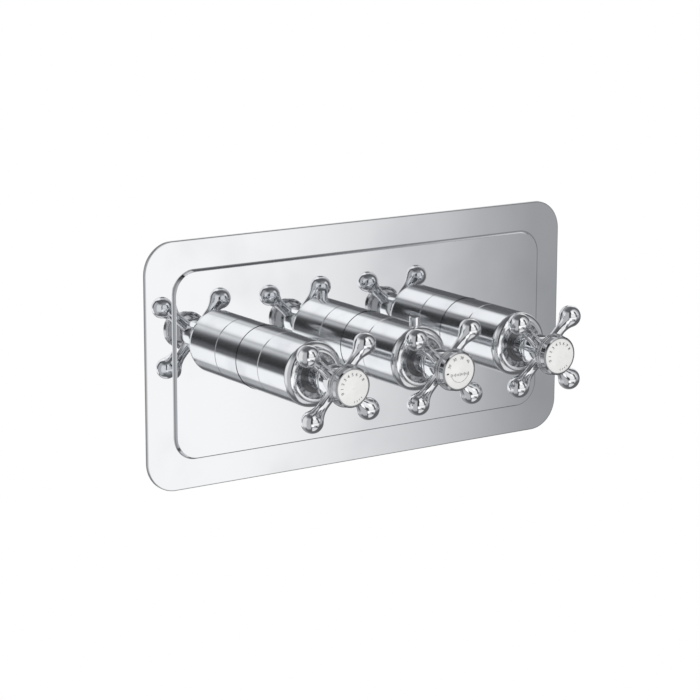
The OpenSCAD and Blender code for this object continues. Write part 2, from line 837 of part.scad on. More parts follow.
// Cast body: bosses, gallery, outlets above, inlets below and feet
module body_outside() {
  for (side = [left, mid, right])
    translate([side * valve_pitch, 0, body_back])
      cylinder(h = boss_front - body_back, r = boss_r);
  translate([0, 0, body_back]) cylinder(h = mid_neck - body_back, r = mid_r);
  translate([-valve_pitch, 0, gallery_o]) rotate([0, 90, 0])
    cylinder(h = 2 * valve_pitch, r = gallery_r);
  for (side = [left, right]) {
    translate([side * valve_pitch, 0, 0]) up_from_axis(outlet_o) {
      cylinder(h = outlet_reach, r = outlet_r);
      translate([0, 0, outlet_reach - outlet_hex_h])
        hexagon(2 * (outlet_r + over), outlet_hex_h);
    }
    translate([side * inlet_x, 0, inlet_o]) rotate([90, 0, 0]) {
      cylinder(h = inlet_reach, r = inlet_r);
      translate([0, 0, inlet_reach - inlet_hex_h])
        hexagon(2 * (inlet_r - over / 2), inlet_hex_h);
    }
    translate([side * (foot_in + foot_out) / 2, 0, body_back]) linear_extrude(foot_t)
      rounded(foot_out - foot_in, foot_h, foot_r);
  }
}

module body_passages() {
  for (side = [left, mid, right])
    translate([side * valve_pitch, 0, cart_face])
      cylinder(h = shroud_len + over, r = shroud_r);
  translate([0, 0, mid_floor]) cylinder(h = cart_face - mid_floor + over, r = mid_bore_r);
  translate([-valve_pitch, 0, gallery_o]) rotate([0, 90, 0])
    cylinder(h = 2 * valve_pitch, r = gallery_bore_r);
  for (side = [left, right]) {
    translate([side * valve_pitch, 0, 0]) {
      translate([0, 0, flow_floor])
        cylinder(h = cart_face - flow_floor + over, r = flow_bore_r);
      translate([0, 0, outlet_o]) cylinder(h = flow_floor - outlet_o + over, r = outlet_port_r);
      up_from_axis(outlet_o) {
        cylinder(h = outlet_reach, r = outlet_pass_r);
        translate([0, 0, outlet_reach - outlet_thread_len])
          cylinder(h = outlet_thread_len + over, r = outlet_bore_r);
      }
    }
    translate([side * inlet_x, 0, inlet_o]) rotate([90, 0, 0]) {
      translate([0, 0, inlet_top]) cylinder(h = inlet_reach - inlet_top, r = inlet_neck_r);
      translate([0, 0, cage_top - clear])
        cylinder(h = inlet_reach - cage_top + clear, r = check_bore_r);
      translate([0, 0, inlet_reach - inlet_thread_len])
        cylinder(h = inlet_thread_len + over, r = inlet_bore_r);
    }
    for (y = [-screw_pitch_z / 2, screw_pitch_z / 2])
      translate([side * screw_x, y, body_back - over])
        cylinder(h = foot_t + 2 * over, r = screw_hole_r);
  }
  port(left, hot_seat + hot_window_h / 2);
  port(right, cold_seat - cold_window_h / 2);
}

// Cross drilling from an inlet to its window of the thermostatic cartridge
module port(side, o)
  translate([side * inlet_x, -port_drop, o]) rotate([0, -side * 90, 0])
    cylinder(h = inlet_x - mid_bore_r / 2, r = port_r);

module valve_body() color(brass_tint) outward() difference() {
  body_outside();
  body_passages();
}

module fixing_screws() color(steel_tint) outward()
  for (side = [left, right], y = [-screw_pitch_z / 2, screw_pitch_z / 2])
    translate([side * screw_x, y, body_back]) {
      translate([0, 0, -fixing_len]) cylinder(h = fixing_len, r = fixing_r);
      cylinder(h = foot_t + over, r = fixing_shank_r);
      translate([0, 0, foot_t]) cylinder(h = fixing_washer_t, r = fixing_washer_r);
      translate([0, 0, foot_t]) hexagon(fixing_head_af, fixing_head_h);
    }

// Inlet fittings
module mesh_hole() translate([0, 0, -over]) cylinder(h = mesh_t + 2 * over, r = mesh_hole_r, $fn = 24);

module strainers() color(steel_tint)
  for (side = [left, right])
    inlet(side) translate([0, 0, cage_top + cage_len]) {
      tube(strainer_len, cage_r, cage_r - strainer_wall);
      difference() {
        cylinder(h = mesh_t, r = cage_r - strainer_wall + over);
        mesh_hole();
        for (ring = [1, 2], i = [1:6 * ring])
          rotate([0, 0, 60 / ring * i]) translate([ring * mesh_pitch, 0, 0]) mesh_hole();
      }
    }

module check_cages() color(plastic_tint)
  for (side = [left, right])
    inlet(side) translate([0, 0, cage_top]) {
      tube(cage_len, cage_r, cage_r - cage_wall);
      difference() {
        cylinder(h = bridge_t, r = cage_r - cage_wall + over);
        translate([0, 0, -over]) cylinder(h = bridge_t + 2 * over, r = poppet_stem_r + slide);
        for (a = [0:60:300])
          rotate([0, 0, a]) translate([bridge_hole_ring, 0, -over])
            cylinder(h = bridge_t + 2 * over, r = bridge_hole_r);
      }
      translate([0, 0, cage_len - cage_seat_t]) difference() {
        cylinder(h = cage_seat_t, r = cage_r - cage_wall + over);
        translate([0, 0, -over]) cylinder(h = cage_seat_t + 2 * over, r = cage_seat_r);
      }
    }

module check_poppet(side) color(plastic_tint) inlet(side) {
  head_o = cage_top + cage_len - cage_seat_t - slide - poppet_t;
  translate([0, 0, head_o]) cylinder(h = poppet_t, r = poppet_r);
  translate([0, 0, cage_top - stem_rise])
    cylinder(h = head_o - cage_top + stem_rise + over, r = poppet_stem_r);
}

module check_spring(side) color(steel_tint) inlet(side)
  translate([0, 0, cage_top + bridge_t])
    coil(check_coil_r, check_wire_r,
      cage_len - bridge_t - cage_seat_t - slide - poppet_t, check_turns);

faceplate();
plate_gasket();
sleeve_seals();
rear_sleeve(left);  // rear_sleeve_left
rear_sleeve(mid);  // rear_sleeve_mid
rear_sleeve(right);  // rear_sleeve_right
color(chrome_tint) front_sleeve(left);  // front_sleeve_left
front_sleeve_mid();
color(chrome_tint) front_sleeve(right);  // front_sleeve_right
neck_bushes();
handle(left, turn_left);  // handle_left
handle(mid, turn_mid);  // handle_mid
handle(right, turn_right);  // handle_right
bezel(left, turn_left);  // bezel_left
bezel(mid, turn_mid);  // bezel_mid
bezel(right, turn_right);  // bezel_right
index_disc(left, turn_left);  // index_disc_left
index_disc(mid, turn_mid);  // index_disc_mid
index_disc(right, turn_right);  // index_disc_right
handle_screw(left, turn_left);  // handle_screw_left
handle_screw(mid, turn_mid);  // handle_screw_mid
handle_screw(right, turn_right);  // handle_screw_right
extension(left, turn_left);  // extension_left
extension(mid, turn_mid);  // extension_mid
extension(right, turn_right);  // extension_right
stop_drum();
stop_button();
button_spring();
flow_cartridge(left);  // flow_cartridge_left
flow_cartridge(right);  // flow_cartridge_right
flow_spindle(left, turn_left);  // flow_spindle_left
flow_spindle(right, turn_right);  // flow_spindle_right
moving_disc(left);  // moving_disc_left
moving_disc(right);  // moving_disc_right
fixed_disc(left);  // fixed_disc_left
fixed_disc(right);  // fixed_disc_right
thermo_housing();
thermo_cap();
temp_spindle();
pusher();
wax_element();
shuttle();
return_spring();
valve_body();
fixing_screws();
strainers();
check_cages();
check_poppet(left);  // check_poppet_hot
check_poppet(right);  // check_poppet_cold
check_spring(left);  // check_spring_hot
check_spring(right);  // check_spring_cold
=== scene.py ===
import bpy
import math
from mathutils import Matrix, Vector


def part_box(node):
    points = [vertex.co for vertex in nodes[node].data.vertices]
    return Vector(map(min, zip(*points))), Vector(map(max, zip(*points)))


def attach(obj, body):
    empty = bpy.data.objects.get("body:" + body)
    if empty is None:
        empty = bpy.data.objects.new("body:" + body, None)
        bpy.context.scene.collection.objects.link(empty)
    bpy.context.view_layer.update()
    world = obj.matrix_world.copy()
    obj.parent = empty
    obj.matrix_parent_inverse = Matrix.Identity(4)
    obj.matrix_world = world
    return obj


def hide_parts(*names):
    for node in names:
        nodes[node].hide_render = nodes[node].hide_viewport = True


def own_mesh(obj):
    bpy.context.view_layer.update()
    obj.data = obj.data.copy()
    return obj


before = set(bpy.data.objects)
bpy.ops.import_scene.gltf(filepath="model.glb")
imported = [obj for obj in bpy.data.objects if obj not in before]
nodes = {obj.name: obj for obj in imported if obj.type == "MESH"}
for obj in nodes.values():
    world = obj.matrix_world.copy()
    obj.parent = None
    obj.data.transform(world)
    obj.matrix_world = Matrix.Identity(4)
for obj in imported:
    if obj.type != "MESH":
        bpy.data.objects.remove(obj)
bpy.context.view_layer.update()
mm = 0.001
print("frame loaded:", len(nodes), "nodes")


# A socket that can be written into expressions; each one adds its node
class Wire:
    def __init__(self, tree, socket=None):
        self.tree = tree
        self.socket = socket

    def node(self, kind, settings=None, inputs=None, output=0):
        made = self.tree.nodes.new("ShaderNode" + kind)
        for name, value in (settings or {}).items():
            if name == "stops":
                fillRamp(made.color_ramp, value)
            else:
                setattr(made, name, value)
        for key, value in (inputs or {}).items():
            self.feed(made.inputs[key], value)
        return Wire(self.tree, made.outputs[output])

    def feed(self, slot, value):
        if isinstance(value, Wire):
            self.tree.links.new(value.socket, slot)
        else:
            slot.default_value = value

    def maths(self, operation, *values):
        return self.node("Math", {"operation": operation}, dict(enumerate(values)))

    def __add__(self, other):
        return self.maths("ADD", self, other)

    def __radd__(self, other):
        return self.maths("ADD", other, self)

    def __sub__(self, other):
        return self.maths("SUBTRACT", self, other)

    def __rsub__(self, other):
        return self.maths("SUBTRACT", other, self)

    def __mul__(self, other):
        return self.maths("MULTIPLY", self, other)

    def __rmul__(self, other):
        return self.maths("MULTIPLY", other, self)

    def step(self, start, end):
        return self.node("MapRange", {"interpolation_type": "SMOOTHSTEP"},
                         {"Value": self, "From Min": start, "From Max": end})

    def blend(self, low, high):
        return self.node("Mix", {"data_type": "RGBA"}, {0: self, 6: low, 7: high}, output=2)


def fillRamp(ramp, stops):
    while len(ramp.elements) < len(stops):
        ramp.elements.new(1)
    for element, (place, level) in zip(ramp.elements, stops):
        element.position = place
        element.color = (level, level, level, 1)


def startMaterial(name, finish):
    material = bpy.data.materials.new(name)
    material.use_nodes = True
    tree = material.node_tree
    surface = tree.nodes["Principled BSDF"]
    for key, value in finish.items():
        surface.inputs[key].default_value = value
    return material, Wire(tree), surface


def placeOnPiece(start, scale):
    place = start.node("TexCoord", output=3)
    return start.node("Mapping", inputs={"Vector": place, "Scale": scale})


def noise(start, size, detail=2.0, stretch=(1, 1, 1)):
    scale = [s / size for s in stretch]
    return start.node("TexNoise", inputs={"Vector": placeOnPiece(start, scale), "Scale": 1.0,
                                          "Detail": detail})


def paint(surface, start, colour=None, roughness=None, height=None, depth=0.0):
    if colour is not None:
        start.feed(surface.inputs["Base Color"], colour)
    if roughness is not None:
        start.feed(surface.inputs["Roughness"], roughness)
    if height is not None:
        bump = start.node("Bump", inputs={"Height": height, "Distance": depth, "Strength": 1.0})
        start.feed(surface.inputs["Normal"], bump)


# A thin dark line of painted shade that runs round a rounded rectangle: its middle,
# half its sides, its corner, and how far inside and outside the outline the line reaches
def paintedShadeLine(start, line):
    x, z = line["middle"]
    place = start.node("Mapping", inputs={"Vector": start.node("TexCoord", output=3), "Location": (-x, 0, -z)})
    corner = line["corner"]
    bounds = (line["half"][0] - corner, 0, line["half"][1] - corner)
    fold = start.node("VectorMath", {"operation": "ABSOLUTE"}, {0: place})
    beyond = start.node("VectorMath", {"operation": "SUBTRACT"}, {0: fold, 1: bounds})
    parts = start.node("SeparateXYZ", inputs={0: beyond})
    across, rise = (Wire(start.tree, parts.socket.node.outputs[i]) for i in (0, 2))
    past, above = (start.maths("MAXIMUM", side, 0.0) for side in (across, rise))
    outside = start.maths("SQRT", past * past + above * above)
    reach = outside + start.maths("MINIMUM", start.maths("MAXIMUM", across, rise), 0.0) - corner
    low, high, soft = line["reach"]
    return reach.step(low - soft, low + soft) * (1 - reach.step(high - soft, high + soft)) * line["strength"]


# How far a point is from the axis of the control at x
def axisReach(start, x):
    place = start.node("Mapping", inputs={"Vector": start.node("TexCoord", output=3), "Location": (-x, 0, 0),
                                          "Scale": (1, 0, 1)})
    return start.node("VectorMath", {"operation": "LENGTH"}, {0: place}, output=1)


# The round recess in a sleeve's nose, which the polishing wheel doesn't reach: rougher there, and its colour
# darkened as painted shade
def shadedRecessMask(start, recess):
    reach = axisReach(start, recess["x"])
    parts = start.node("SeparateXYZ", inputs={0: start.node("TexCoord", output=3)})
    depth = Wire(start.tree, parts.socket.node.outputs[1])
    return (1 - reach.step(*recess["reach"])) * (1 - depth.step(*recess["front"]))


# Polished chromium plate: a faint haze of fingerprints and buffing marks, with painted shade lines and painted
# shade in the sleeves' nose recesses
def makeChrome(name, chrome):
    material, start, surface = startMaterial(name, {"Metallic": 1.0})
    haze = noise(start, chrome["hazeSize"], 3.0).step(0.45, 0.75)
    buffing = noise(start, chrome["buffingSize"], 2.0, chrome["buffingStretch"])
    dark, pale = chrome["colours"]
    colour = haze.blend(pale, dark)
    # painted shade: dark lines along the panel's foot and the plate's edge
    for line in chrome.get("lines", []):
        colour = paintedShadeLine(start, line).blend(colour, chrome["shadeLineColour"])
    rough = chrome["roughness"] + haze * chrome["haze"] + buffing * chrome["buffing"]
    for recess in chrome.get("shadedRecesses", []):
        inside = shadedRecessMask(start, recess)
        mottle = noise(start, recess["mottle"], 3.0).step(0.35, 0.65)
        # painted shade: the recess's colour darkened to a mottled dark grey
        colour = inside.blend(colour, mottle.blend(recess["dark"], recess["pale"]))
        rough = rough + inside * recess["roughness"]
    paint(surface, start, colour, rough, buffing, chrome["depth"])
    return material


# Cast or turned metal: grain from the mould or lines from the tool, dull patches and small pits
def makeMetal(name, metal):
    material, start, surface = startMaterial(name, {"Metallic": 1.0})
    patches = noise(start, metal["patchSize"], 4.0).step(0.35, 0.7)
    lines = noise(start, metal["lineSize"], 3.0, metal["lineStretch"])
    pits = noise(start, metal["pitSize"], 2.0).step(0.6, 0.8)
    dull, bright = metal["colours"]
    paint(surface, start, (patches * 0.7 + pits * 0.3).blend(bright, dull),
          metal["roughness"] + patches * metal["patchRough"] + lines * 0.08,
          lines - pits * metal["pits"], metal["depth"])
    return material


# Plastic, rubber and foam: a soft mottle, fine texture, and a cell pattern darker at each cell's middle, which on
# the foam is painted shade in its pits
def makeSoft(name, soft):
    material, start, surface = startMaterial(name, soft["finish"])
    mottle = noise(start, soft["mottleSize"], 3.0).step(0.3, 0.75)
    texture = noise(start, soft["textureSize"], 2.0)
    place = placeOnPiece(start, [1 / soft["cellSize"]] * 3)
    cells = start.node("TexVoronoi", inputs={"Vector": place, "Scale": 1.0})
    dark, pale = soft["colours"]
    # the cells darken each cell's middle: painted shade in the foam's pits, a plain cell tone on acetal and rubber
    paint(surface, start, (mottle * 0.75 + cells * 0.25).blend(dark, pale),
          soft["roughness"] + mottle * 0.1, texture + cells * soft["cells"], soft["depth"])
    return material


# Fired ceramic: a pale cloudy body with fine specks and a darker rim round each control's axis, which on the index
# discs is painted shade where the disc meets its bezel and on the lapped discs a faint darker ring
def makeCeramic(name, ceramic):
    material, start, surface = startMaterial(name, ceramic["finish"])
    cloud = noise(start, ceramic["cloudSize"], 3.0).step(0.3, 0.7)
    specks = noise(start, ceramic["speckSize"], 1.0).step(0.68, 0.78)
    dark, pale = ceramic["colours"]
    colour = (cloud * 0.6 + specks * 0.4).blend(pale, dark)
    for x in ceramic["axes"]:
        reach = axisReach(start, x)
        rimShadeAndRing = reach.step(*ceramic["rimShadeAndRing"]) * (1 - reach.step(*ceramic["edge"]))
        # painted shade on the index discs: a dark ring at the disc's edge; on the lapped discs a faint darker ring
        colour = rimShadeAndRing.blend(colour, ceramic["rimShadeAndRingColour"])
    paint(surface, start, colour, ceramic["roughness"] + cloud * 0.05, cloud, ceramic["depth"])
    return material


controlPlaces = (-75 * mm, 0, 75 * mm)
chromeTones = ((0.78, 0.79, 0.81, 1), (0.86, 0.87, 0.885, 1))
plateChrome = makeChrome("plateChrome", {
    "colours": chromeTones, "hazeSize": 60 * mm, "buffingSize": 6 * mm, "buffingStretch": (0.05, 1, 1),
    "roughness": 0.015, "haze": 0.02, "buffing": 0.01, "depth": 0.0, "shadeLineColour": (0.2, 0.205, 0.215, 1),
    # painted shade lines round the panel's foot and the plate's outer edge
    "lines": [
        {"middle": (-1 * mm, 0.8 * mm), "half": (134.2 * mm, 56.25 * mm), "corner": 14 * mm,
         "reach": (0.35 * mm, 1.15 * mm, 0.2 * mm), "strength": 0.5},
        {"middle": (-1.7 * mm, 0.8 * mm), "half": (152.5 * mm, 75 * mm), "corner": 19 * mm,
         "reach": (-0.7 * mm, 1 * mm, 0.2 * mm), "strength": 0.45},
    ]})
sleeveChrome = makeChrome("sleeveChrome", {
    "colours": chromeTones, "hazeSize": 30 * mm, "buffingSize": 2 * mm, "buffingStretch": (1, 0.04, 1),
    "roughness": 0.11, "haze": 0.03, "buffing": 0.05, "depth": 0.014 * mm,
    # painted shade in each nose recess; its extra roughness is real
    "shadedRecesses": [{"x": x, "reach": (13.85 * mm, 14.1 * mm), "front": (-122 * mm, -118 * mm), "mottle": 2.2 * mm,
                  "dark": (0.16, 0.165, 0.175, 1), "pale": (0.5, 0.51, 0.53, 1), "roughness": 0.16}
                 for x in controlPlaces]})
castChrome = makeChrome("castChrome", {
    "colours": chromeTones, "hazeSize": 12 * mm, "buffingSize": 5 * mm, "buffingStretch": (1, 1, 1),
    "roughness": 0.02, "haze": 0.03, "buffing": 0.01, "depth": 0.02 * mm})
bezelChrome = makeChrome("bezelChrome", {
    "colours": ((0.5, 0.505, 0.52, 1), (0.58, 0.585, 0.6, 1)), "hazeSize": 8 * mm, "buffingSize": 1.2 * mm,
    "buffingStretch": (1, 4, 1), "roughness": 0.05, "haze": 0.03, "buffing": 0.03, "depth": 0.008 * mm})
brassTones = ((0.62, 0.44, 0.19, 1), (0.93, 0.74, 0.39, 1))
castBrass = makeMetal("castBrass", {
    "colours": brassTones, "patchSize": 22 * mm, "lineSize": 0.9 * mm, "lineStretch": (1, 1, 1),
    "pitSize": 1.6 * mm, "roughness": 0.27, "patchRough": 0.18, "pits": 0.6, "depth": 0.14 * mm})
turnedBrass = makeMetal("turnedBrass", {
    "colours": ((0.62, 0.46, 0.2, 1), (0.83, 0.68, 0.37, 1)), "patchSize": 9 * mm, "lineSize": 3 * mm,
    "lineStretch": (1, 12, 1), "pitSize": 2.5 * mm, "roughness": 0.16, "patchRough": 0.1, "pits": 0.1,
    "depth": 0.02 * mm})
brightSteel = makeMetal("brightSteel", {
    "colours": ((0.5, 0.51, 0.53, 1), (0.68, 0.69, 0.71, 1)), "patchSize": 7 * mm, "lineSize": 1.5 * mm,
    "lineStretch": (1, 6, 1), "pitSize": 2 * mm, "roughness": 0.22, "patchRough": 0.1, "pits": 0.1,
    "depth": 0.01 * mm})
copperShell = makeMetal("copperShell", {
    "colours": ((0.46, 0.24, 0.14, 1), (0.75, 0.47, 0.31, 1)), "patchSize": 6 * mm, "lineSize": 1 * mm,
    "lineStretch": (1, 4, 1), "pitSize": 1.5 * mm, "roughness": 0.24, "patchRough": 0.14, "pits": 0.1,
    "depth": 0.02 * mm})
blackAcetal = makeSoft("blackAcetal", {
    "finish": {"Coat Weight": 0.7, "Coat Roughness": 0.15},
    "colours": ((0.05, 0.05, 0.055, 1), (0.12, 0.12, 0.13, 1)), "mottleSize": 5 * mm, "textureSize": 0.5 * mm,
    "cellSize": 3 * mm, "cells": 0.0, "roughness": 0.3, "depth": 0.02 * mm})
mouldedRubber = makeSoft("mouldedRubber", {
    "finish": {}, "colours": ((0.03, 0.03, 0.03, 1), (0.075, 0.075, 0.07, 1)),
    "mottleSize": 8 * mm, "textureSize": 0.6 * mm, "cellSize": 4 * mm, "cells": 0.0, "roughness": 0.62,
    "depth": 0.04 * mm})
cellFoam = makeSoft("cellFoam", {
    "finish": {}, "colours": ((0.13, 0.13, 0.135, 1), (0.2, 0.2, 0.205, 1)),
    "mottleSize": 6 * mm, "textureSize": 1.2 * mm, "cellSize": 1.1 * mm, "cells": 0.8, "roughness": 0.85,
    "depth": 0.18 * mm})
indexGlaze = makeCeramic("indexGlaze", {
    "finish": {"Coat Weight": 0.5, "Coat Roughness": 0.04},
    "colours": ((0.78, 0.78, 0.765, 1), (0.84, 0.84, 0.83, 1)), "cloudSize": 5 * mm, "speckSize": 0.5 * mm,
    # the dark rim is painted shade where the disc meets its bezel
    "rimShadeAndRing": (10.1 * mm, 10.8 * mm), "edge": (11.5 * mm, 12 * mm), "rimShadeAndRingColour": (0.22, 0.22, 0.23, 1),
    "axes": controlPlaces, "roughness": 0.12, "depth": 0.01 * mm})
lappedCeramic = makeCeramic("lappedCeramic", {
    "finish": {}, "colours": ((0.82, 0.82, 0.81, 1), (0.93, 0.93, 0.92, 1)), "cloudSize": 4 * mm,
    "speckSize": 0.3 * mm, "rimShadeAndRing": (9 * mm, 11 * mm), "edge": (11.5 * mm, 12 * mm),
    "rimShadeAndRingColour": (0.8, 0.8, 0.79, 1), "axes": controlPlaces[::2], "roughness": 0.3, "depth": 0.01 * mm})
inkGrey = makeSoft("inkGrey", {
    "finish": {"Coat Weight": 0.4}, "colours": ((0.05, 0.05, 0.055, 1), (0.14, 0.14, 0.15, 1)),
    "mottleSize": 1.2 * mm, "textureSize": 0.2 * mm, "cellSize": 1 * mm, "cells": 0.0, "roughness": 0.3,
    "depth": 0.002 * mm})


def finishIn(piece, material):
    piece.data.materials.clear()
    piece.data.materials.append(material)


def dress(names, material):
    for name in names:
        finishIn(nodes[name], material)


sides = ("left", "mid", "right")
outer = ("left", "right")
dress(["faceplate"], plateChrome)
dress([part + side for part in ("rear_sleeve_", "front_sleeve_") for side in sides], sleeveChrome)
dress(["handle_" + side for side in sides] + ["stop_button"], castChrome)
dress(["bezel_" + side for side in sides], bezelChrome)
dress(["index_disc_" + side for side in sides], indexGlaze)
dress([part + side for part in ("fixed_disc_", "moving_disc_") for side in outer], lappedCeramic)
dress(["valve_body"], castBrass)
dress(["extension_" + side for side in sides]
      + ["stop_drum", "temp_spindle", "pusher", "thermo_housing", "thermo_cap"]
      + [part + side for part in ("flow_cartridge_", "flow_spindle_") for side in outer], turnedBrass)
dress(["handle_screw_" + side for side in sides] + ["button_spring", "return_spring", "fixing_screws", "strainers",
      "check_spring_hot", "check_spring_cold", "shuttle"], brightSteel)
dress(["wax_element"], copperShell)
dress(["neck_bushes", "check_cages", "check_poppet_hot", "check_poppet_cold"], blackAcetal)
dress(["sleeve_seals"], mouldedRubber)
dress(["plate_gasket"], cellFoam)
print("materials ready")


def selectOnly(piece):
    bpy.ops.object.select_all(action="DESELECT")
    piece.select_set(True)
    bpy.context.view_layer.objects.active = piece


def settle(piece):
    bpy.context.view_layer.update()
    selectOnly(piece)
    bpy.ops.object.transform_apply(location=True, rotation=True, scale=True)


def combine(target, other, operation):
    selectOnly(target)
    cut = target.modifiers.new("Join", "BOOLEAN")
    cut.operation = operation
    cut.solver = "EXACT"
    cut.object = other
    bpy.ops.object.modifier_apply(modifier=cut.name)
    bpy.data.objects.remove(other)


# Selects the edges or faces that pass a test, and stays in edit mode
def pick(piece, kind, wanted):
    bpy.ops.object.mode_set(mode="EDIT")
    bpy.ops.mesh.select_mode(type=kind)
    bpy.ops.mesh.select_all(action="DESELECT")
    bpy.ops.object.mode_set(mode="OBJECT")
    for part in piece.data.edges if kind == "EDGE" else piece.data.polygons:
        part.select = wanted(part)
    bpy.ops.object.mode_set(mode="EDIT")


# Face plate: a flat plate with a raised middle panel, hollow behind it, and
# three holes for the sleeves. Depths are from the wall's face outwards
plate = {
    "middle": (-1.7 * mm, 0.8 * mm), "wallPlane": -66 * mm, "width": 305 * mm, "height": 150 * mm,
    "corner": 19 * mm, "thick": 2 * mm, "edge": 0.45 * mm, "edgeSteps": 5, "wall": 2 * mm, "cornerSteps": 28,
    "panelWidth": 267 * mm, "panelHeight": 112.5 * mm, "panelCorner": 14 * mm, "panelFace": 4.65 * mm,
    "panelEdge": 0.3 * mm, "panelFoot": 0.9 * mm, "footEase": 0.35 * mm, "footSteps": 4, "footRoom": 3 * mm,
    "holeReach": 19.95 * mm, "holeSides": 96, "holeDepth": 20 * mm, "smooth": 35, "slack": 0.01 * mm,
}


# A block with round corners, whose back may be wider by the foot on each side
def roundedSlab(width, height, corner, low, high, foot=0, edge=0):
    cx, cz = plate["middle"]
    back, front = plate["wallPlane"] - low, plate["wallPlane"] - high
    bpy.ops.object.select_all(action="DESELECT")
    bpy.ops.mesh.primitive_cube_add(size=1, location=(cx, (back + front) / 2, cz),
                                    scale=(width, high - low, height))
    slab = bpy.context.object
    bpy.ops.object.transform_apply(location=True, scale=True)
    points = slab.data.vertices
    pick(slab, "EDGE", lambda line: abs(points[line.vertices[0]].co.y - points[line.vertices[1]].co.y)
         > plate["slack"])
    bpy.ops.mesh.bevel(offset=corner, segments=plate["cornerSteps"], affect="EDGES")
    if edge:
        pick(slab, "FACE", lambda face: face.normal.y < -0.9)
        bpy.ops.mesh.bevel(offset=edge, segments=plate["edgeSteps"], affect="EDGES")
    pick(slab, "FACE", lambda face: face.normal.y > 0.9)
    bpy.ops.transform.resize(value=(1 + 2 * foot / width, 1, 1 + 2 * foot / height),
                             center_override=(cx, back, cz))
    bpy.ops.object.mode_set(mode="OBJECT")
    return slab


# The inner corner at the panel's foot is rounded like the rest of the pressing
def easeFoot(sheet):
    cx, cz = plate["middle"]
    across, rise = plate["panelWidth"] / 2 + plate["footRoom"], plate["panelHeight"] / 2 + plate["footRoom"]
    level = plate["wallPlane"] - plate["thick"]

    def atFoot(line):
        ends = [sheet.data.vertices[i].co for i in line.vertices]
        return all(abs(end.y - level) < plate["slack"] and abs(end.x - cx) < across and abs(end.z - cz) < rise
                   for end in ends)

    pick(sheet, "EDGE", atFoot)
    bpy.ops.mesh.bevel(offset=plate["footEase"], segments=plate["footSteps"], affect="EDGES")
    bpy.ops.object.mode_set(mode="OBJECT")


def makePlate():
    width, height, corner, wall = (plate[key] for key in ("panelWidth", "panelHeight", "panelCorner", "wall"))
    sheet = roundedSlab(plate["width"], plate["height"], plate["corner"], 0, plate["thick"], edge=plate["edge"])
    panel = roundedSlab(width, height, corner, plate["thick"] / 2, plate["panelFace"], plate["panelFoot"],
                        plate["panelEdge"])
    combine(sheet, panel, "UNION")
    easeFoot(sheet)
    hollow = roundedSlab(width - wall, height - wall, corner - wall / 2, -wall, plate["panelFace"] - wall)
    combine(sheet, hollow, "DIFFERENCE")
    for x in controlPlaces:
        bpy.ops.mesh.primitive_cylinder_add(vertices=plate["holeSides"], radius=plate["holeReach"],
                                            depth=plate["holeDepth"], location=(x, plate["wallPlane"], 0),
                                            rotation=(math.radians(90), 0, 0))
        combine(sheet, bpy.context.object, "DIFFERENCE")
    sheet.name = "pressed_plate"
    bpy.ops.object.shade_smooth_by_angle(angle=math.radians(plate["smooth"]))
    even = sheet.modifiers.new("Even", "WEIGHTED_NORMAL")
    even.keep_sharp = True
    bpy.ops.object.modifier_apply(modifier=even.name)
    finishIn(sheet, plateChrome)
    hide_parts("faceplate")
    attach(sheet, "body")


makePlate()
print("plate made")


# Cross handles: a hub with four bowed sides and four arms that flare into balls,
# each drawn out ring by ring from a circle, then joined and bored for the
# spindle and screw. A side's bow is the radius that it is rounded to
handle = {
    "barrel": 9.3 * mm, "bow": 13 * mm, "neck": 8 * mm, "thread": 8.9 * mm, "hubFrom": 73.5 * mm,
    "hubTo": 88 * mm, "threadLen": 5 * mm, "ease": 0.3 * mm, "hubSides": 96, "slack": 0.1 * mm,
    "armLevel": 84.7 * mm, "armThin": 3.2 * mm, "rootFlare": 1.2 * mm, "flareEnd": 14 * mm,
    "flareFall": 8 * mm, "sweep": 14 * mm, "ball": 6.7 * mm, "ballReach": 27.5 * mm, "armSides": 56,
    "flareSteps": 7, "sweepSteps": 11, "ballSteps": 22, "tip": (0.9999, 0.012),
    "bore": 6.02 * mm, "boreEnd": 80 * mm, "screwHole": 2.05 * mm, "screwSeat": 83 * mm, "headRoom": 6 * mm,
    "boreSides": 48, "wallPlane": -66 * mm, "smooth": 32,
    "turns": {"left": 3.9, "mid": 2.5, "right": 0.5},
    "bodies": {"left": "left_control", "mid": "temperature_control", "right": "right_control"},
}


# Draws a round shape out of a circle, one ring after another: place on the axis and radius
def turned(name, rings, segments):
    bpy.ops.object.select_all(action="DESELECT")
    start, radius = rings[0]
    bpy.ops.mesh.primitive_circle_add(vertices=segments, radius=radius, fill_type="NGON", location=(0, 0, start))
    made = bpy.context.object
    made.name = name
    bpy.ops.object.transform_apply(location=True)
    bpy.ops.object.mode_set(mode="EDIT")
    bpy.ops.mesh.select_all(action="SELECT")
    for (place, reach), (nextPlace, nextReach) in zip(rings, rings[1:]):
        bpy.ops.mesh.extrude_region_move(TRANSFORM_OT_translate={"value": (0, 0, nextPlace - place)})
        scale = nextReach / reach
        bpy.ops.transform.resize(value=(scale, scale, 1), center_override=(0, 0, nextPlace))
    bpy.ops.mesh.select_all(action="SELECT")
    bpy.ops.mesh.normals_make_consistent(inside=False)
    bpy.ops.object.mode_set(mode="OBJECT")
    return made


